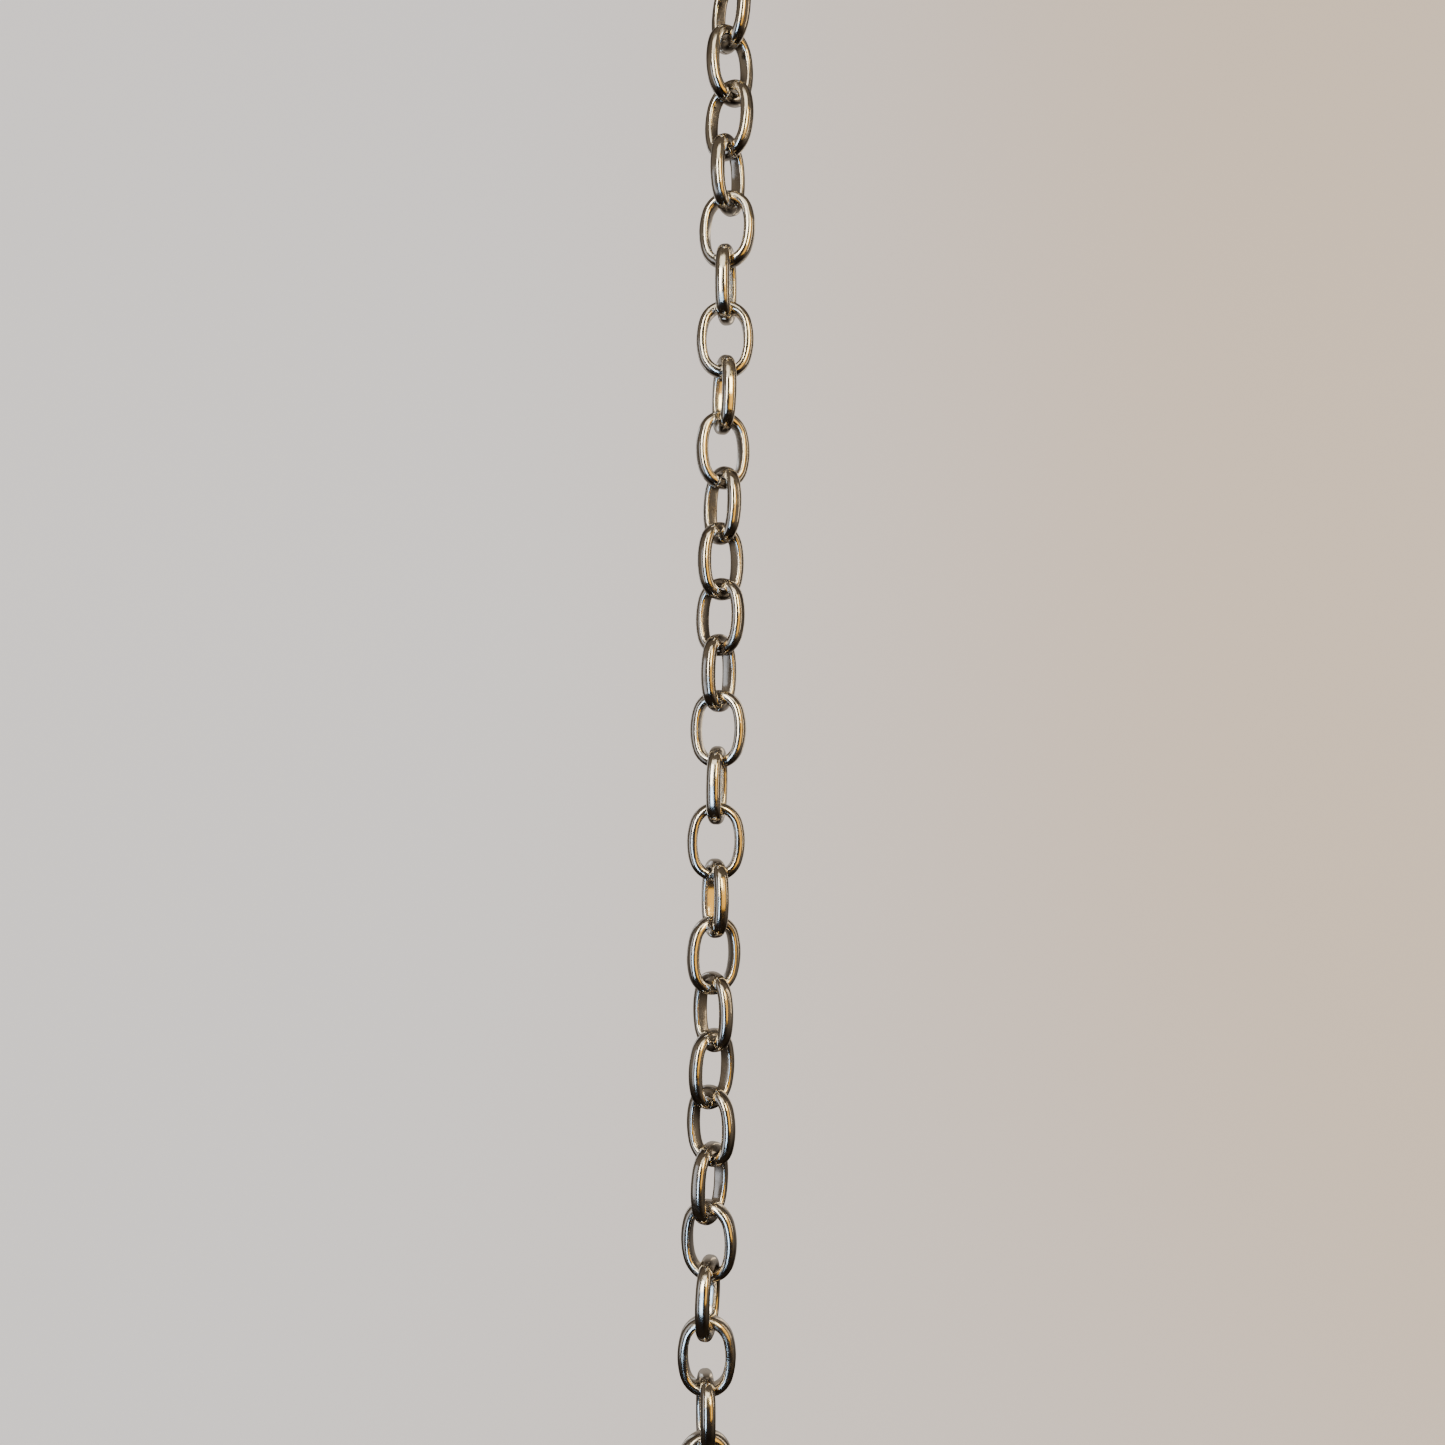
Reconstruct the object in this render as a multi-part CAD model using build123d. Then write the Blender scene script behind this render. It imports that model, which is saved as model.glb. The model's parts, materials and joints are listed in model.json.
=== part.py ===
from build123d import *
import os
from math import atan2, cos, degrees, radians, sin

# Eyeglasses chain strap, hanging straight down from its upper temple loop.
# The origin is the inside of the top of that loop, where a temple arm carries it.
# +Z is up, +X is across both temple loops, and -Y is the front. All sizes are in mm.

# Oval link of flat-faced wire
link_length = 8.0  # outside
link_width = 5.9  # outside
wire_height = 1.04  # in the plane of the link
wire_width = 1.46  # across the plane of the link
link_end_radius = 2.25  # centreline of the wire round each end
inner_edge_radius = 0.38
outer_edge_radius = 0.45
link_gap = 0.20  # free height between two links that hang in each other
seam_width = 0.05
seam_angle = -72.0  # from +X of the link, so just beside the middle of its lower end

# Chain: each link is turned a quarter turn and a little more from the one above it
first_link_angle = 24.0
twist_past_quarter = (
    10, 7, 10, 11, 12, 6, 11, 12, 13, 6, 12, 7, 11, 9, 10,
    13, 13, 11, 7, 11, 4, 10, 8, 9, 9, 11, 4,
)

# Round-wire jump ring
ring_wire = 1.0
ring_inner_radius = 1.9
ring_gap = 0.10
upper_ring_angle = -72.0
lower_ring_angle = -80.0
ring_seam_angle = 15.0

# Temple loop of silicone cord
cord_diameter = 1.8
loop_radius = 4.0  # centreline over the top
leg_spacing = 2.0  # between the centrelines of the two legs
flare_angle = 18.0
flare_radius = 6.0

# Slider bead round both legs
bead_length = 3.6
bead_wall = 0.9
bead_clearance = 0.06
bead_travel = 4.4
bead_stand_off = 0.2

# Crimped cord end with an eye
crimp_length = 6.0
crimp_wall = 0.5
crimp_bottom = 1.4
crimp_dent_depth = 0.22
crimp_dent_radius = 0.9
eye_wire = 0.9
eye_inner_radius = 1.0
eye_drop = 1.2  # eye centre below the crimp end

# Heights along the centre line
link_pitch = link_length - 2 * wire_height - link_gap
inner_end = link_length / 2 - wire_height
ring_radius = ring_inner_radius + ring_wire / 2

loop_top = cord_diameter / 2
loop_centre = loop_top - loop_radius
half_spacing = leg_spacing / 2
flare_foot = half_spacing + flare_radius * (1 - cos(radians(flare_angle)))
shoulder_x = loop_radius * cos(radians(flare_angle))
shoulder_z = loop_centre - loop_radius * sin(radians(flare_angle))
side_length = (shoulder_x - flare_foot) / sin(radians(flare_angle))
side_foot_z = shoulder_z - side_length * cos(radians(flare_angle))
legs_top = side_foot_z - flare_radius * sin(radians(flare_angle))
bead_zone = bead_length + bead_travel + 2 * bead_stand_off
crimp_top = legs_top - bead_zone
crimp_end = crimp_top - crimp_length
eye_centre = crimp_end - eye_drop
eye_radius = eye_inner_radius + eye_wire / 2

upper_ring_z = eye_centre - eye_inner_radius + ring_gap - ring_inner_radius
first_link_z = upper_ring_z - ring_inner_radius + ring_gap - inner_end
lower_ring_z = (
    first_link_z - len(twist_past_quarter) * link_pitch
    - inner_end + ring_gap - ring_inner_radius
)
lower_eye_z = lower_ring_z - ring_inner_radius + ring_gap - eye_inner_radius


def wire_face():
    """Section of the link wire: flat face towards the inside (-X), rounder outside."""
    outline = Rectangle(wire_height, wire_width)
    inside = outline.vertices().group_by(Axis.X)[0]
    outline = fillet(inside, inner_edge_radius)
    outside = [v for v in outline.vertices() if v.X > wire_height / 2 - 0.001]
    return fillet(outside, outer_edge_radius)


def bend(section, centre_x, centre_z, radius, start, turn):
    """Wire bent to an arc in the XZ plane. Angles run from +X towards +Z."""
    axis = Axis((centre_x, 0, centre_z), (0, -1, 0))
    placed = Pos(centre_x + radius, 0, centre_z) * section
    return revolve(placed.rotate(axis, start), axis, turn)


def cut_seam(closed, centre_z, radius, angle):
    """A butt seam, cut right through the wire at this angle round its end."""
    slot = Pos(radius, 0, 0) * Box(3 * wire_width, 3 * wire_width, seam_width)
    return closed - Pos(0, 0, centre_z) * Rot(0, -angle, 0) * slot


def make_link():
    """One oval link in the XZ plane: two tight end arcs joined by two long side arcs."""
    section = wire_face()
    end_centre = (link_length - wire_height) / 2 - link_end_radius
    bulge = (link_width - wire_height) / 2 - link_end_radius
    side_centre = (end_centre**2 - bulge**2) / (2 * bulge)
    side_radius = (link_width - wire_height) / 2 + side_centre
    meet = degrees(atan2(end_centre, side_centre))
    end_turn = 180 - 2 * meet
    ring = bend(section, -side_centre, 0, side_radius, -meet, 2 * meet)
    ring += bend(section, 0, end_centre, link_end_radius, meet, end_turn)
    ring += bend(section, side_centre, 0, side_radius, 180 - meet, 2 * meet)
    ring += bend(section, 0, -end_centre, link_end_radius, 180 + meet, end_turn)
    return cut_seam(ring, -end_centre, link_end_radius, seam_angle)


def make_jump_ring():
    """A round wire ring in the XZ plane with its butt seam at the side."""
    return cut_seam(Rot(90, 0, 0) * Torus(ring_radius, ring_wire / 2), 0, ring_radius, ring_seam_angle)


def make_temple_loop():
    """A folded cord: two parallel legs that flare out into a round top."""
    side = Vector(sin(radians(flare_angle)), 0, cos(radians(flare_angle)))
    foot = Vector(half_spacing, 0, crimp_end + crimp_bottom)
    knee = Vector(half_spacing, 0, legs_top)
    flare_end = Vector(flare_foot, 0, side_foot_z)
    shoulder = flare_end + side * side_length
    top = Vector(0, 0, loop_top)
    right = [
        Line(foot, knee),
        TangentArc(knee, flare_end, tangent=(0, 0, 1)),
        Line(flare_end, shoulder),
        TangentArc(shoulder, top, tangent=side),
    ]
    path = Wire([edge for line in right for edge in line.edges()])
    half = sweep(Plane(foot, z_dir=(0, 0, 1)) * Circle(cord_diameter / 2), path)
    return half + mirror(half, Plane.YZ)


def leg_slot(growth):
    """Outline round both legs of the loop, this much larger all round."""
    height = cord_diameter + 2 * growth
    return SlotCenterToCenter(leg_spacing, height)


def make_slider_bead():
    """A barrel with one long bore for both legs, softened at its two ends."""
    barrel = extrude(leg_slot(bead_wall), bead_length)
    rims = barrel.edges().group_by(Axis.Z)
    barrel = fillet(rims[0] + rims[-1], bead_wall * 0.7)
    return barrel - extrude(leg_slot(bead_clearance), bead_length)


def make_crimp():
    """A flat tube with a closed end, two crimp dents on each face, and a soldered eye."""
    tube = Pos(0, 0, crimp_end) * extrude(leg_slot(crimp_wall), crimp_length)
    rims = tube.edges().group_by(Axis.Z)
    tube = fillet(rims[0], crimp_wall * 0.8)
    legs = Pos(half_spacing, 0, 0) * Circle(cord_diameter / 2)
    legs += Pos(-half_spacing, 0, 0) * Circle(cord_diameter / 2)
    tube -= Pos(0, 0, crimp_end + crimp_bottom) * extrude(legs, crimp_length)
    face_y = cord_diameter / 2 + crimp_wall
    for front in (-1, 1):
        for along in (0.45, 0.72):
            dent_y = front * (face_y + crimp_dent_radius - crimp_dent_depth)
            dent = Pos(0, dent_y, crimp_end + along * crimp_length)
            tube -= dent * Rot(0, 90, 0) * Cylinder(crimp_dent_radius, 3 * leg_spacing)
    eye = Pos(0, 0, eye_centre) * Rot(90, 0, 0) * Torus(eye_radius, eye_wire / 2)
    return tube + eye


def flip_to_lower(piece):
    """The lower fitting is the upper one turned upside down below the chain."""
    return Pos(0, 0, lower_eye_z) * Rot(0, 180, 0) * Pos(0, 0, -eye_centre) * piece


def chain_link_places():
    """Height and angle of each link, from the top."""
    places = [(first_link_z, first_link_angle)]
    for extra in twist_past_quarter:
        height, angle = places[-1]
        places.append((height - link_pitch, angle + 90 + extra))
    return places


def strap_pieces():
    """Every separate piece in its place, by name."""
    loop = make_temple_loop()
    bead = Pos(0, 0, crimp_top + bead_stand_off) * make_slider_bead()
    crimp = make_crimp()
    ring = make_jump_ring()
    link = make_link()
    pieces = {
        "upper_temple_loop": loop,
        "upper_slider_bead": bead,
        "upper_crimp_end": crimp,
        "upper_jump_ring": Pos(0, 0, upper_ring_z) * Rot(0, 0, upper_ring_angle) * ring,
    }
    for number, (height, angle) in enumerate(chain_link_places(), start=1):
        pieces[f"chain_link_{number:02d}"] = Pos(0, 0, height) * Rot(0, 0, angle) * link
    pieces["lower_jump_ring"] = Pos(0, 0, lower_ring_z) * Rot(0, 0, lower_ring_angle) * ring
    pieces["lower_crimp_end"] = flip_to_lower(crimp)
    pieces["lower_slider_bead"] = flip_to_lower(bead)
    pieces["lower_temple_loop"] = flip_to_lower(loop)
    return pieces


os.makedirs("parts", exist_ok=True)
for name, piece in strap_pieces().items():
    piece.label = name
    export_step(piece, f"parts/{name}.step")

# Places that the joints and mounts use
print(f"links from {first_link_z:.3f} down, {link_pitch:.3f} apart")
print(f"link end arc centre {(link_length - wire_height) / 2 - link_end_radius:.3f} from its middle")
print(f"upper eye bar {eye_centre - eye_radius:.3f}, upper ring {upper_ring_z:.3f}")
print(f"lower ring {lower_ring_z:.3f}, lower eye {lower_eye_z:.3f}")
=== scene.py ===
# Eyeglasses chain strap: oval steel links, jump rings, crimp ends, slider beads and silicone loops.
import json
import math

import bmesh
import bpy
from mathutils import Matrix, Vector


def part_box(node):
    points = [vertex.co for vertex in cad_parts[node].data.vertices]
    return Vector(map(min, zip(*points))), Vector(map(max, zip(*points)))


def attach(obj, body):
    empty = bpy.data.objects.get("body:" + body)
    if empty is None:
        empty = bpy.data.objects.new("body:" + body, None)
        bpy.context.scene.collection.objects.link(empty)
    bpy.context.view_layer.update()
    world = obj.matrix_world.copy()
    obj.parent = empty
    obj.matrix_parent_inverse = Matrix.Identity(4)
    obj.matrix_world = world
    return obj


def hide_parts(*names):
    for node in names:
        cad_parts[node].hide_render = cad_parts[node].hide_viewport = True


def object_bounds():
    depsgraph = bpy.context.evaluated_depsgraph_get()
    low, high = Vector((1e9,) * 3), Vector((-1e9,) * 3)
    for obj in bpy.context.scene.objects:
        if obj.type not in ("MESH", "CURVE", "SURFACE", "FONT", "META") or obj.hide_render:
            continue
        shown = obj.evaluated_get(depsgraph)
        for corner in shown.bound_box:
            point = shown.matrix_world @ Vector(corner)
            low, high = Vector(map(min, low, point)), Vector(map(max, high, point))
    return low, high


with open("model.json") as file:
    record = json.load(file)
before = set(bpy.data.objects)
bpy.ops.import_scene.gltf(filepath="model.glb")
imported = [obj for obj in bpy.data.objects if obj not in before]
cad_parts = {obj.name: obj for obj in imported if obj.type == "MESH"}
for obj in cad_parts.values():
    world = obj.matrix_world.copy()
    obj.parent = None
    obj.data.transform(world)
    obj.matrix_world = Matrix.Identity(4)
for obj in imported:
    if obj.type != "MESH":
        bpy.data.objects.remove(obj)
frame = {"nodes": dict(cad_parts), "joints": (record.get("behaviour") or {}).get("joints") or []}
cadLow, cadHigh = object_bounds()
mm = 0.001
tiny = 1e-7  # metres, nearer than this is the same place
hair = 0.01 * mm  # nearer than this is on the surface
smoothAngle = 32  # degrees, the sharpest bend that is still shaded smooth
print("frame loaded:", len(frame["nodes"]), "nodes")


# selecting and shaping

def clearSelection():
    if bpy.context.object and bpy.context.object.mode != "OBJECT":
        bpy.ops.object.mode_set(mode="OBJECT")
    bpy.ops.object.select_all(action="DESELECT")


def editing(piece):
    clearSelection()
    piece.select_set(True)
    bpy.context.view_layer.objects.active = piece
    bpy.ops.object.mode_set(mode="EDIT")
    bpy.ops.mesh.select_all(action="SELECT")


def startPiece(name, scale=(1, 1, 1)):  # puts the new primitive's place into its mesh, and opens it
    piece = bpy.context.object
    piece.name = name
    piece.data.name = name
    piece.scale = scale
    bpy.ops.object.transform_apply(location=True, rotation=True, scale=True)
    editing(piece)
    return piece


def startCircle(name, points, radius, x, z, fill="NOTHING"):
    clearSelection()
    bpy.ops.mesh.primitive_circle_add(vertices=points, radius=radius, location=(x, 0, z), fill_type=fill)
    return startPiece(name)


def startPlane(name, width, depth, x, z):
    clearSelection()
    bpy.ops.mesh.primitive_plane_add(size=1, location=(x, 0, z))
    return startPiece(name, (width, depth, 1))


def keepOutline():  # drops the face and leaves its outline selected
    bpy.ops.mesh.select_all(action="SELECT")
    bpy.ops.mesh.delete(type="ONLY_FACE")
    bpy.ops.mesh.select_all(action="SELECT")


def pickVerts(piece, test):  # selects the points whose place passes the test
    bpy.ops.mesh.select_mode(type="VERT")
    bpy.ops.mesh.select_all(action="DESELECT")
    shape = bmesh.from_edit_mesh(piece.data)
    for vert in shape.verts:
        vert.select = test(vert.co)
    shape.select_flush_mode()
    bmesh.update_edit_mesh(piece.data)


def pickStart(piece):  # the outline that a bent wire began with
    pickVerts(piece, lambda co: abs(co.z) < tiny and co.x > 0)


def pickOpenEdges():
    bpy.ops.mesh.select_mode(type="EDGE")
    bpy.ops.mesh.select_all(action="DESELECT")
    bpy.ops.mesh.select_non_manifold()


def turn(centreX, centreZ, angle, steps):  # spins the selection in the XZ plane, from +X towards +Z
    bpy.ops.mesh.spin(
        steps=steps,
        angle=math.radians(angle),
        center=(centreX, 0, centreZ),
        axis=(0, 1, 0),
    )


def pull(x, z, scaleX=1.0, scaleY=1.0):  # extrudes the selected outline, and scales its new end
    bpy.ops.mesh.extrude_edges_move(TRANSFORM_OT_translate={"value": (x, 0, z)})
    if scaleX != 1.0 or scaleY != 1.0:
        bpy.ops.transform.resize(value=(scaleX, scaleY, 1), center_override=(0, 0, 0))


def pullAlong(x, z, steps):  # a straight run in even steps
    for _ in range(steps):
        pull(x / steps, z / steps)


def closeEnds(rimRound=0.0, segments=3):  # caps every open end, and softens the rim of each cap
    pickOpenEdges()
    bpy.ops.mesh.fill_holes(sides=0)
    if rimRound:
        bpy.ops.mesh.select_mode(type="FACE")
        bpy.ops.mesh.select_all(action="DESELECT")
        bpy.ops.mesh.select_face_by_sides(number=4, type="GREATER")
        bpy.ops.mesh.bevel(offset=rimRound, segments=segments, affect="EDGES")


def finishMesh(piece):
    bpy.ops.mesh.select_all(action="SELECT")
    bpy.ops.mesh.remove_doubles(threshold=tiny)
    bpy.ops.mesh.normals_make_consistent(inside=False)
    bpy.ops.object.mode_set(mode="OBJECT")
    bpy.ops.object.shade_smooth_by_angle(angle=math.radians(smoothAngle))
    return piece


# placing copies on the frame

def hingePlace(body, node):  # on the strap's line, at the node's height, turned as the body's hinge is
    low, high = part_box(node)
    axis = next(joint["axis"] for joint in frame["joints"] if joint["child"] == body)
    middle = Vector((0, 0, (low[2] + high[2]) / 2))
    return Matrix.Translation(middle) @ Matrix.Rotation(math.atan2(-axis[0], axis[1]), 4, "Z")


def fitCopy(master, name, place, body, node):
    piece = master.copy()
    piece.data = master.data.copy()
    piece.name = name
    piece.data.name = name
    piece.data.transform(place)
    bpy.context.collection.objects.link(piece)
    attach(piece, body)
    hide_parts(node)
    return piece


# camera

cameraPlace = dict(
    distance=101.9 * mm,  # in front of the chain
    height=-118.9 * mm,
    tiltUp=1.36,  # degrees
    roll=1.03,
    yaw=-0.25,
    lens=24.91,
    sensor=36,
    nearClip=5 * mm,
)


def makeCamera():
    s = cameraPlace
    data = bpy.data.cameras.new("camera")
    data.lens = s["lens"]
    data.sensor_width = s["sensor"]
    data.clip_start = s["nearClip"]
    camera = bpy.data.objects.new("camera", data)
    bpy.context.collection.objects.link(camera)
    camera.matrix_world = (
        Matrix.Translation((0, -s["distance"], s["height"]))
        @ Matrix.Rotation(math.radians(s["yaw"]), 4, "Z")
        @ Matrix.Rotation(math.radians(90 + s["tiltUp"]), 4, "X")
        @ Matrix.Rotation(math.radians(s["roll"]), 4, "Z")
    )
    bpy.context.scene.camera = camera


makeCamera()
print("camera set")


# chain links

linkShape = dict(
    length=8.0 * mm,
    width=5.9 * mm,
    wireHeight=1.04 * mm,  # in the plane of the link
    wireWidth=1.46 * mm,  # across the plane of the link
    endRadius=2.25 * mm,  # of the wire's middle
    outerRound=0.60 * mm,
    outerSegments=9,
    innerRoundEnds=0.38 * mm,  # where links rub, the inner edges are worn rounder
    innerRoundSides=0.20 * mm,
    innerSegments=5,
    wearStart=0.2 * mm,  # above and below the middle of the link
    wearFull=1.4 * mm,
    seamGap=0.05 * mm,
    seamAngle=-72,  # degrees from +X, just beside the middle of the lower end
    seamRound=0.06 * mm,
    seamStep=0.018 * mm,
    seamReach=0.55 * mm,  # how far from the seam the stepped end reaches
    sideSteps=16,
    upperEndSteps=46,
    lowerEndSteps=(27, 18),  # before and after the seam
)


def linkOval():  # the four arcs of the middle of a link's wire
    s = linkShape
    halfWidth = (s["width"] - s["wireHeight"]) / 2
    endCentre = (s["length"] - s["wireHeight"]) / 2 - s["endRadius"]
    bulge = halfWidth - s["endRadius"]
    sideCentre = (endCentre**2 - bulge**2) / (2 * bulge)
    meet = math.degrees(math.atan2(endCentre, sideCentre))
    return halfWidth, endCentre, sideCentre, meet


def outFromMiddle(co):  # how far a point stands outside the middle of the wire
    halfWidth, endCentre, sideCentre, meet = linkOval()
    x, z = abs(co.x), abs(co.z)
    if math.degrees(math.atan2(z, x + sideCentre)) > meet:
        return math.hypot(x, z - endCentre) - linkShape["endRadius"]
    return math.hypot(x + sideCentre, z) - halfWidth - sideCentre


def onInnerCorner(co):
    s = linkShape
    return abs(co.y) > s["wireWidth"] / 2 - tiny and outFromMiddle(co) < hair - s["wireHeight"] / 2


def weighInnerEdges(link):  # the rounder the inner edge, the more weight it gets
    s = linkShape
    leastWeight = s["innerRoundSides"] / s["innerRoundEnds"]
    points = link.data.vertices
    weights = link.data.attributes.new("bevel_weight_edge", "FLOAT", "EDGE")
    for edge in link.data.edges:
        a, b = (points[i].co for i in edge.vertices)
        if a.y * b.y > 0 and onInnerCorner(a) and onInnerCorner(b):
            along = abs(a.z + b.z) / 2
            worn = min(max((along - s["wearStart"]) / (s["wearFull"] - s["wearStart"]), 0), 1)
            weights.data[edge.index].value = leastWeight + (1 - leastWeight) * worn


def makeLink():
    s = linkShape
    halfWidth, endCentre, sideCentre, meet = linkOval()
    halfGap = math.degrees(s["seamGap"] / 2 / s["endRadius"])
    beforeSeam, afterSeam = s["lowerEndSteps"]
    link = startPlane("linkMaster", s["wireHeight"], s["wireWidth"], halfWidth, 0)
    pickVerts(link, lambda co: co.x > halfWidth)
    bpy.ops.mesh.bevel(offset=s["outerRound"], segments=s["outerSegments"], affect="VERTICES")
    keepOutline()
    # up the right side, over the top and down to the seam
    turn(-sideCentre, 0, meet, s["sideSteps"] // 2)
    turn(0, endCentre, 180 - 2 * meet, s["upperEndSteps"])
    turn(sideCentre, 0, 2 * meet, s["sideSteps"])
    turn(0, -endCentre, 180 + s["seamAngle"] - halfGap - meet, beforeSeam)
    # down from where it began, to the seam's other side
    pickStart(link)
    turn(-sideCentre, 0, -meet, s["sideSteps"] // 2)
    turn(0, -endCentre, s["seamAngle"] + halfGap + meet, afterSeam)
    bpy.ops.object.mode_set(mode="OBJECT")
    weighInnerEdges(link)
    rounding = link.modifiers.new("innerEdges", "BEVEL")
    rounding.limit_method = "WEIGHT"
    rounding.width = s["innerRoundEnds"]
    rounding.segments = s["innerSegments"]
    rounding.use_clamp_overlap = False
    bpy.ops.object.modifier_apply(modifier=rounding.name)
    editing(link)
    closeEnds(s["seamRound"])
    # one cut end stands a little proud of the other
    angle = math.radians(s["seamAngle"])
    seam = Vector((0, 0, -endCentre)) + s["endRadius"] * Vector((math.cos(angle), 0, math.sin(angle)))
    pickVerts(link, lambda co: co.x > seam.x and (Vector((co.x, 0, co.z)) - seam).length < s["seamReach"])
    bpy.ops.transform.translate(value=(0, s["seamStep"], 0))
    return finishMesh(link)


def makeChain():
    master = makeLink()
    links = []
    for node in sorted(frame["nodes"]):
        if node.startswith("chain_link_"):
            number = node[-2:]
            body = f"link_{number}"
            place = hingePlace(body, node)
            links.append(fitCopy(master, f"steel_link_{number}", place, body, node))
    bpy.data.objects.remove(master)
    return links


links = makeChain()
print("links made:", len(links), "with", len(links[0].data.polygons), "faces each")


# jump rings

ringShape = dict(
    wire=1.0 * mm,
    innerRadius=1.9 * mm,
    seamAngle=15,  # degrees from +X
    seamGap=0.05 * mm,
    seamRound=0.07 * mm,
    steps=96,
    aroundWire=24,
)


def makeJumpRing():
    s = ringShape
    radius = s["innerRadius"] + s["wire"] / 2
    halfGap = math.degrees(s["seamGap"] / 2 / radius)
    ring = startCircle("ringMaster", s["aroundWire"], s["wire"] / 2, radius, 0)
    turn(0, 0, s["seamAngle"] - halfGap, s["steps"] * s["seamAngle"] // 360)
    pickStart(ring)
    turn(0, 0, s["seamAngle"] + halfGap - 360, s["steps"])
    closeEnds(s["seamRound"])
    return finishMesh(ring)


def makeJumpRings():
    master = makeJumpRing()
    rings = []
    for end in ("upper", "lower"):
        body, node = f"{end}_ring", f"{end}_jump_ring"
        place = hingePlace(body, node)
        rings.append(fitCopy(master, f"steel_ring_{end}", place, body, node))
    bpy.data.objects.remove(master)
    return rings


rings = makeJumpRings()
print("jump rings made")


# silicone temple loops

loopShape = dict(
    cord=1.8 * mm,
    topRadius=4.0 * mm,
    legSpacing=2.0 * mm,
    flareAngle=18,
    flareRadius=6.0 * mm,
    aroundCord=28,
    legSteps=16,
    flareSteps=8,
    sideSteps=12,
    topSteps=72,
)


def makeTempleLoop():
    s = loopShape
    low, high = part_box("upper_temple_loop")
    half = s["legSpacing"] / 2
    flare = math.radians(s["flareAngle"])
    topCentre = high[2] - s["cord"] / 2 - s["topRadius"]
    sideRun = s["topRadius"] * math.cos(flare) - half - s["flareRadius"] * (1 - math.cos(flare))
    sideRise = sideRun / math.tan(flare)
    legsTop = topCentre - sideRise - (s["topRadius"] + s["flareRadius"]) * math.sin(flare)
    legLength = legsTop - low[2]
    loop = startCircle("loopMaster", s["aroundCord"], s["cord"] / 2, half, low[2])
    # up one leg, over the top and down the other
    pullAlong(0, legLength, s["legSteps"])
    turn(half + s["flareRadius"], legsTop, -s["flareAngle"], s["flareSteps"])
    pullAlong(sideRun, sideRise, s["sideSteps"])
    turn(0, topCentre, 180 + 2 * s["flareAngle"], s["topSteps"])
    pullAlong(sideRun, -sideRise, s["sideSteps"])
    turn(-half - s["flareRadius"], legsTop, -s["flareAngle"], s["flareSteps"])
    pullAlong(0, -legLength, s["legSteps"])
    closeEnds()
    return finishMesh(loop)


# the oval outline round both legs, which beads and crimps start from

ovalShape = dict(
    corner=0.9999,  # of a full round, which would put two points in one place
    segments=12,
)


def startOval(name, growth, z):  # larger than the legs by this much all round
    height = loopShape["cord"] + 2 * growth
    piece = startPlane(name, loopShape["legSpacing"] + height, height, 0, z)
    bpy.ops.mesh.bevel(
        offset=height / 2 * ovalShape["corner"],
        segments=ovalShape["segments"],
        affect="VERTICES",
    )
    keepOutline()
    return piece


# crimp ends

crimpShape = dict(
    length=6.0 * mm,
    wall=0.5 * mm,
    endRound=0.45 * mm,
    endSteps=6,
    tubeSteps=60,
    dentPlaces=(2.7 * mm, 4.32 * mm),  # above the closed end
    dentReach=0.55 * mm,
    dentDepth=0.16,  # share of the thickness pressed in
    dentPower=0.7,  # under 1 gives a dent steeper shoulders
    rim=0.12 * mm,
    overRim=(  # rise in rims, then what is left of the width and of the thickness
        (0.7, 0.985, 0.965),
        (0.3, 0.975, 0.955),
        (0, 0.86, 0.80),
        (-5, 0.98, 0.97),  # down to where the cord fills the mouth
    ),
    eyeWire=0.9 * mm,
    eyeInnerRadius=1.0 * mm,
    aroundEyeWire=24,
    eyeSteps=80,
    collarRadius=1.25 * mm,  # solder round the eye's root
    collarPoints=36,
    collarSink=0.05 * mm,
    collarSteps=((0.08 * mm, 0.86), (0.06 * mm, 0.90), (0.05 * mm, 0.93)),  # drop, and what is left
)


def dentShare(height):  # how much of the thickness is left at this height
    s = crimpShape
    left = 1.0
    for place in s["dentPlaces"]:
        near = abs(height - place) / s["dentReach"]
        if near < 1:
            left -= s["dentDepth"] * (0.5 + 0.5 * math.cos(math.pi * near)) ** s["dentPower"]
    return left


def makeCrimpTube(closedEnd):
    s = crimpShape
    halfLegs = loopShape["legSpacing"] / 2
    outer = loopShape["cord"] / 2 + s["wall"]
    size = outer - s["endRound"]
    tube = startOval("crimpMaster", s["wall"] - s["endRound"], closedEnd)
    # rounded closed end
    quarter = [math.pi / 2 * step / s["endSteps"] for step in range(s["endSteps"] + 1)]
    for before, after in zip(quarter, quarter[1:]):
        rise = s["endRound"] * (math.cos(before) - math.cos(after))
        newSize = outer - s["endRound"] * (1 - math.sin(after))
        pull(0, rise, (halfLegs + newSize) / (halfLegs + size), newSize / size)
        size = newSize
    # up the tube, pressed in at the two dents
    height = s["endRound"]
    rise = (s["length"] - s["endRound"] - s["rim"]) / s["tubeSteps"]
    for _ in range(s["tubeSteps"]):
        pull(0, rise, 1.0, dentShare(height + rise) / dentShare(height))
        height += rise
    for rimRise, wide, thick in s["overRim"]:
        pull(0, rimRise * s["rim"], wide, thick)
    closeEnds()
    return finishMesh(tube)


def makeEye(bottom):
    s = crimpShape
    radius = s["eyeInnerRadius"] + s["eyeWire"] / 2
    centre = bottom + s["eyeWire"] + s["eyeInnerRadius"]
    eye = startCircle("eyeMaster", s["aroundEyeWire"], s["eyeWire"] / 2, radius, centre)
    turn(0, centre, 360, s["eyeSteps"])
    return finishMesh(eye)


def makeCollar(closedEnd):
    s = crimpShape
    collar = startCircle("collarMaster", s["collarPoints"], s["collarRadius"], 0, closedEnd + s["collarSink"])
    for drop, share in s["collarSteps"]:
        pull(0, -drop, share, share)
    closeEnds()
    return finishMesh(collar)


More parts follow.
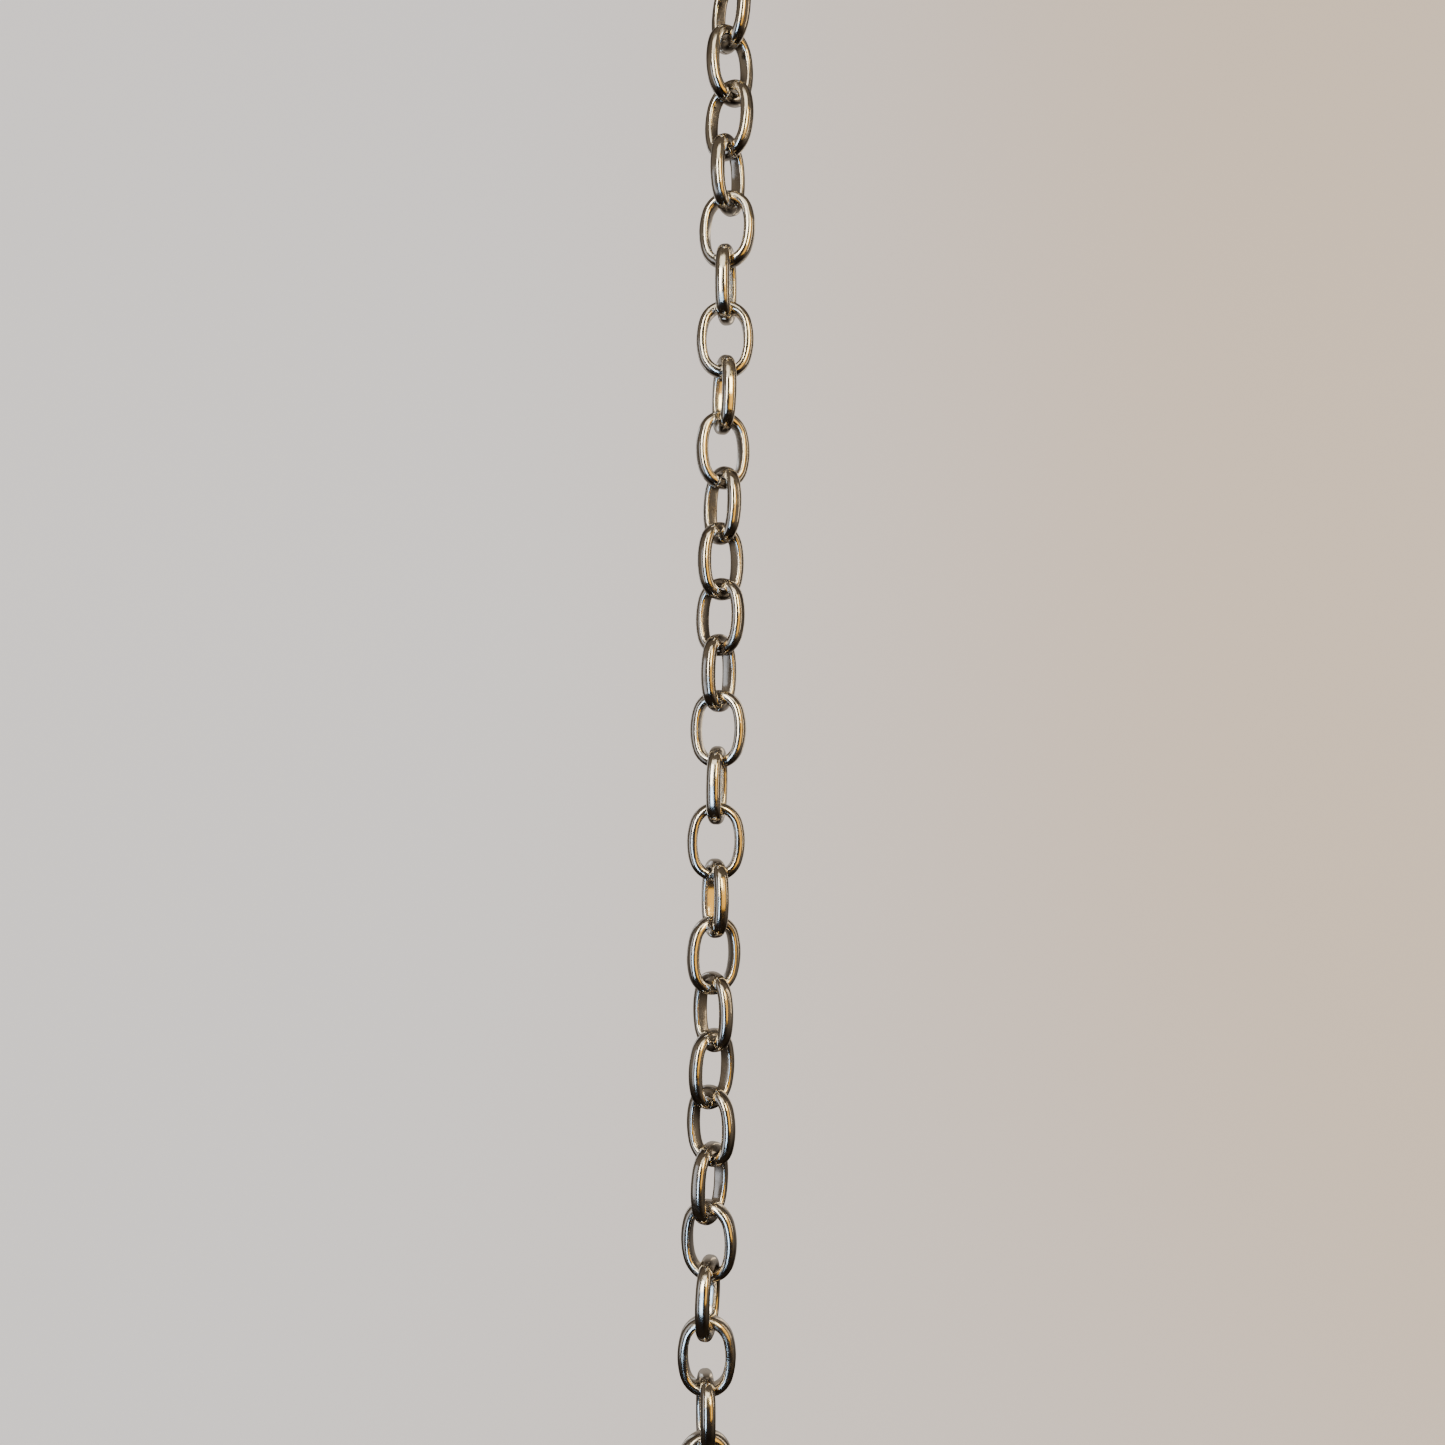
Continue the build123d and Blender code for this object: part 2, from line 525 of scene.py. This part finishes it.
def makeCrimp():
    low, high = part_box("upper_crimp_end")
    closedEnd = high[2] - crimpShape["length"]
    crimp = makeCrimpTube(closedEnd)
    soldered = (makeEye(low[2]), makeCollar(closedEnd))
    clearSelection()
    crimp.select_set(True)
    bpy.context.view_layer.objects.active = crimp
    for part in soldered:
        join = crimp.modifiers.new("solder", "BOOLEAN")
        join.operation = "UNION"
        join.object = part
        join.solver = "EXACT"
        bpy.ops.object.modifier_apply(modifier=join.name)
        bpy.data.objects.remove(part)
    bpy.ops.object.shade_smooth_by_angle(angle=math.radians(smoothAngle))
    return crimp


# slider beads

beadShape = dict(
    wall=0.9 * mm,
    clearance=0.08 * mm,
    length=3.6 * mm,
    steps=44,
    belly=0.72,  # share of the full size at its two ends
    bellyPower=4,  # the higher, the straighter its middle
    grooves=(0.34, 0.66),  # share of the length
    grooveHalf=0.045,
    grooveDepth=0.035,  # share of the full size
)


def beadGirth(along):  # share of the full size, from end to end
    s = beadShape
    size = s["belly"] + (1 - s["belly"]) * math.sqrt(max(1 - abs(2 * along - 1) ** s["bellyPower"], 0))
    for groove in s["grooves"]:
        near = abs(along - groove) / s["grooveHalf"]
        if near < 1:
            size -= s["grooveDepth"] * (1 - near**2)
    return size


def makeBead():
    s = beadShape
    low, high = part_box("upper_slider_bead")
    bead = startOval("beadMaster", s["wall"], low[2])
    bpy.ops.transform.resize(value=(beadGirth(0), beadGirth(0), 1), center_override=(0, 0, low[2]))
    for step in range(s["steps"]):
        grow = beadGirth((step + 1) / s["steps"]) / beadGirth(step / s["steps"])
        pull(0, s["length"] / s["steps"], grow, grow)
    # in over the rim and down through the bore
    halfLegs = loopShape["legSpacing"] / 2
    size = loopShape["cord"] / 2 + s["wall"]
    bore = loopShape["cord"] / 2 + s["clearance"]
    pull(0, 0, (halfLegs + bore) / ((halfLegs + size) * beadGirth(1)), bore / (size * beadGirth(1)))
    pull(0, -s["length"])
    pickOpenEdges()
    bpy.ops.mesh.bridge_edge_loops()
    return finishMesh(bead)


def makeEnds():  # the lower fitting is the upper one turned upside down
    kinds = (
        (makeTempleLoop(), "silicone_loop", "end", "temple_loop", "silicone"),
        (makeCrimp(), "steel_crimp", "end", "crimp_end", "fitting_steel"),
        (makeBead(), "steel_bead", "bead", "slider_bead", "fitting_steel"),
    )
    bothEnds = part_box("upper_crimp_end")[0][2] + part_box("lower_crimp_end")[1][2]
    places = dict(
        upper=Matrix.Identity(4),
        lower=Matrix.Translation((0, 0, bothEnds)) @ Matrix.Rotation(math.pi, 4, "Y"),
    )
    made = []
    for master, name, body, node, slot in kinds:
        for end, place in places.items():
            made.append(fitCopy(master, f"{name}_{end}", place, f"{end}_{body}", f"{end}_{node}"))
        bpy.data.objects.remove(master)
    return made


ends = makeEnds()
print("end fittings made")


# materials

class Wire:  # an output socket, so that sums on it are written as plain arithmetic
    def __init__(self, shader, socket):
        self.shader = shader
        self.socket = socket

    def sum(self, operation, other):
        return self.shader.add("ShaderNodeMath", dict(operation=operation), {0: self, 1: other})

    def __add__(self, other):
        return self.sum("ADD", other)

    def __mul__(self, other):
        return self.sum("MULTIPLY", other)

    __radd__ = __add__
    __rmul__ = __mul__


class Shader:  # the nodes of one material, or of the world
    def __init__(self, owner, surface="Principled BSDF", place="Object"):
        owner.use_nodes = True
        self.tree = owner.node_tree
        self.surface = self.tree.nodes[surface]
        self.place = self.add("ShaderNodeTexCoord", {}, {}, place)

    def add(self, kind, settings, inputs, output=0):
        node = self.tree.nodes.new(kind)
        for key, value in settings.items():
            if key == "stops":
                self.setStops(node.color_ramp, value)
            else:
                setattr(node, key, value)
        for key, value in inputs.items():
            self.feed(node.inputs[key], value)
        return Wire(self, node.outputs[output])

    def setStops(self, ramp, stops):
        ramp.interpolation = "EASE"
        while len(ramp.elements) < len(stops):
            ramp.elements.new(1)
        for element, (position, colour) in zip(ramp.elements, stops):
            element.position = position
            element.color = (*colour, 1)

    def feed(self, socket, value):
        if isinstance(value, Wire):
            self.tree.links.new(value.socket, socket)
        elif socket.type == "RGBA":
            socket.default_value = (*value, 1)
        else:
            socket.default_value = value

    def set(self, **values):  # Base_Color is the shader's Base Color, and so on
        for name, value in values.items():
            self.feed(self.surface.inputs[name.replace("_", " ")], value)

    def axis(self, letter):
        return self.add("ShaderNodeSeparateXYZ", {}, {"Vector": self.place}, letter)

    def noise(self, scale, detail=2.0, roughness=0.5, stretch=None, turned=None):
        place = self.place
        if stretch:
            place = self.add(
                "ShaderNodeMapping", {},
                {"Vector": place, "Rotation": turned, "Scale": stretch},
            )
        return self.add(
            "ShaderNodeTexNoise", {},
            {"Vector": place, "Scale": scale, "Detail": detail, "Roughness": roughness},
        )

    def band(self, value, low, high, outLow=0.0, outHigh=1.0):
        return self.add(
            "ShaderNodeMapRange", dict(interpolation_type="SMOOTHSTEP"),
            {"Value": value, "From Min": low, "From Max": high, "To Min": outLow, "To Max": outHigh},
        )

    def blend(self, amount, first, second, kind="MIX"):
        return self.add(
            "ShaderNodeMix", dict(data_type="RGBA", blend_type=kind),
            {"Factor": amount, 6: first, 7: second}, 2,
        )

    def bump(self, height):  # height in metres
        return self.add(
            "ShaderNodeBump", {},
            {"Height": height, "Distance": 1.0, "Strength": 1.0}, "Normal",
        )


# a noise is its scale per metre, detail and roughness
# a mark shows from the first of its two values of the noise, and is full at the second
steelLook = dict(
    clean=(0.79, 0.75, 0.69),
    tarnish=(0.46, 0.395, 0.32),
    roughClean=0.14,
    roughWorn=0.30,
    waves=(520, 2.0, 0.5),  # the unevenness that bends the reflections
    waveHeight=8.0e-6,  # metres
    dull=(900, 4.0, 0.6),
    dullShows=(0.45, 0.75),
    patches=(160, 3.0, 0.55),
    patchShows=(0.48, 0.72),
    tarnishShows=(0.35, 0.70),
    scratches=(  # scale, stretch, turn in radians and where it shows, for each of two ways
        (900, (1.0, 6.0, 0.18), (0.5, 0.3, 0.4), (0.60, 0.68)),
        (800, (6.0, 1.0, 0.22), (-0.6, 0.4, 1.2), (0.62, 0.70)),
    ),
    scratchRough=0.05,
    scratchDepth=1.2e-6,
)
fittingLook = dict(steelLook, clean=(0.74, 0.72, 0.69), roughWorn=0.34)


def steelMaterial(name, look):
    material = bpy.data.materials.new(name)
    steel = Shader(material)
    dull = steel.noise(*look["dull"])
    oneWay, otherWay = (
        steel.band(steel.noise(scale, stretch=stretch, turned=turned), *shows)
        for scale, stretch, turned, shows in look["scratches"]
    )
    scratches = oneWay + otherWay
    patches = steel.band(steel.noise(*look["patches"]), *look["patchShows"])
    tarnished = patches * steel.band(dull, *look["tarnishShows"])
    worn = steel.band(dull, *look["dullShows"], look["roughClean"], look["roughWorn"])
    waves = steel.noise(*look["waves"]) * look["waveHeight"]
    steel.set(
        Base_Color=steel.blend(tarnished, look["clean"], look["tarnish"]),
        Metallic=1.0,
        Roughness=worn + scratches * look["scratchRough"],
        Normal=steel.bump(waves + scratches * -look["scratchDepth"]),
    )
    return material


siliconeLook = dict(
    base=(0.007, 0.007, 0.008),
    dusty=(0.020, 0.0195, 0.019),
    dust=(420, 5.0, 0.65),
    dustShows=(0.5, 0.8),
    roughShows=(0.3, 0.8),
    roughness=(0.34, 0.52),
    grain=(3200, 3.0, 0.6),
    grainHeight=6.0e-6,  # metres
)


def siliconeMaterial():
    look = siliconeLook
    material = bpy.data.materials.new("blackSilicone")
    silicone = Shader(material)
    dust = silicone.noise(*look["dust"])
    silicone.set(
        Base_Color=silicone.blend(silicone.band(dust, *look["dustShows"]), look["base"], look["dusty"]),
        Roughness=silicone.band(dust, *look["roughShows"], *look["roughness"]),
        Normal=silicone.bump(silicone.noise(*look["grain"]) * look["grainHeight"]),
    )
    return material


def dress(pieces, material):
    for piece in pieces:
        piece.data.materials.clear()
        piece.data.materials.append(material)


dress(links, steelMaterial("polishedLinkSteel", steelLook))
dress(rings + ends, steelMaterial("fittingSteel", fittingLook))
dress([piece for piece in ends if "silicone" in piece.name], siliconeMaterial())
print("materials made")


# floor, backdrop and light

studio = dict(
    floorDrop=300 * mm,  # below the lower loop
    hub=20 * mm,
    radius=1.2,
    points=96,
    coveRadius=0.6,
    coveSteps=16,
    height=1.2,
    paint=(0.20, 0.195, 0.19),
    roughness=0.9,
    paintedCoolLight=(0.90, 0.86, 0.84),  # painted cool light that the sweep glows with on the left
    paintedWarmLight=(0.84, 0.65, 0.48),  # painted warm light that the sweep glows with on the right
    paintedLightTurns=(-0.4, 0.7),  # metres to the right, where the painted cool light begins and ends to turn warm
)


def makeStudio():  # one round sweep: floor, cove and wall, glowing with painted light, cool on the left and warm on the right
    s = studio
    floor = cadLow.z - s["floorDrop"]
    flat = s["radius"] - s["coveRadius"]
    drum = startCircle("studioSweep", s["points"], s["hub"], 0, floor, "NGON")
    pickOpenEdges()
    pull(0, 0, flat / s["hub"], flat / s["hub"])
    quarter = [math.pi / 2 * step / s["coveSteps"] for step in range(s["coveSteps"] + 1)]
    for a, b in zip(quarter, quarter[1:]):
        near = flat + s["coveRadius"] * math.sin(a)
        far = flat + s["coveRadius"] * math.sin(b)
        pull(0, s["coveRadius"] * (math.cos(a) - math.cos(b)), far / near, far / near)
    pull(0, s["height"])
    finishMesh(drum)
    drum.visible_glossy = False
    material = bpy.data.materials.new("studioPaintAndPaintedLight")
    paint = Shader(material)
    # painted light: the sweep glows cool on the left and warm on the right, as if lit from both sides
    paintedLightWarmth = paint.band(paint.axis("X"), *s["paintedLightTurns"])
    paint.set(
        Base_Color=s["paint"],
        Roughness=s["roughness"],
        Specular_IOR_Level=0.0,
        Emission_Color=paint.blend(paintedLightWarmth, s["paintedCoolLight"], s["paintedWarmLight"]),
        Emission_Strength=1.0,
    )
    dress([drum], material)


# degrees right of the front, degrees up, metres away, width and height, strength, colour
softLights = dict(
    windowStrip=(-24, 17, 0.50, (0.080, 0.34), 14.0, (1.0, 0.92, 0.74)),
    coolWindow=(-22, -20, 0.50, (0.100, 0.28), 7.5, (0.47, 0.70, 1.0)),
    coolSide=(-66, -6, 0.55, (0.18, 0.60), 0.65, (0.74, 0.81, 0.93)),
    goldLamp=(27, 24, 0.50, (0.070, 0.22), 14.0, (1.0, 0.83, 0.40)),
    goldWall=(36, 8, 0.55, (0.26, 0.62), 1.7, (1.0, 0.50, 0.05)),
    creamTop=(-4, 48, 0.50, (0.34, 0.18), 2.2, (1.0, 0.88, 0.66)),
    warmSide=(80, 12, 0.55, (0.060, 0.50), 2.4, (1.0, 0.76, 0.46)),
    backLeft=(-140, 8, 0.55, (0.07, 0.46), 1.2, (0.86, 0.92, 1.0)),
    backRight=(150, 12, 0.55, (0.07, 0.46), 1.6, (1.0, 0.80, 0.54)),
)


def makeLights():
    aim = Vector((0, 0, (cadLow.z + cadHigh.z) / 2))
    for name, (right, up, away, size, strength, colour) in softLights.items():
        data = bpy.data.lights.new(name, "AREA")
        data.shape = "RECTANGLE"
        data.size, data.size_y = size
        data.energy = strength * size[0] * size[1] * math.pi
        data.color = colour
        lamp = bpy.data.objects.new(name, data)
        a, b = math.radians(right), math.radians(up)
        outwards = Vector((math.sin(a) * math.cos(b), -math.cos(a) * math.cos(b), math.sin(b)))
        lamp.location = aim + away * outwards
        lamp.rotation_euler = (aim - lamp.location).to_track_quat("-Z", "Y").to_euler()
        lamp.visible_camera = False
        bpy.context.collection.objects.link(lamp)


roomGlow = dict(
    seen=(0.88, 0.80, 0.74),  # by the camera, past the top of the wall
    frontToBack=(  # place and colour
        (0.06, (0.045, 0.034, 0.025)),
        (0.34, (0.170, 0.138, 0.102)),
        (0.52, (0.170, 0.138, 0.102)),
        (0.66, (0.042, 0.033, 0.025)),
        (0.97, (0.36, 0.32, 0.28)),
    ),
    downToUp=(  # place, and how much of that colour is left
        (0.14, (0.10, 0.085, 0.07)),
        (0.42, (1.0, 1.0, 1.0)),
        (0.70, (1.0, 1.0, 1.0)),
        (0.95, (0.65, 0.61, 0.56)),
    ),
)


def makeRoomGlow():  # what the metal mirrors beside the lights: a pale wall behind, a dim room in front
    world = bpy.data.worlds.new("room")
    bpy.context.scene.world = world
    room = Shader(world, "Background", "Generated")
    depth, rise = (
        room.add(
            "ShaderNodeValToRGB", dict(stops=roomGlow[stops]),
            {0: room.add("ShaderNodeMapRange", {}, {"Value": room.axis(axis), "From Min": -1})},
        )
        for axis, stops in (("Y", "frontToBack"), ("Z", "downToUp"))
    )
    mirrored = room.blend(1, depth, rise, "MULTIPLY")
    cameraRay = room.add("ShaderNodeLightPath", {}, {}, "Is Camera Ray")
    room.set(Color=room.blend(cameraRay, mirrored, roomGlow["seen"]))


makeStudio()
makeLights()
makeRoomGlow()
print("studio lit")
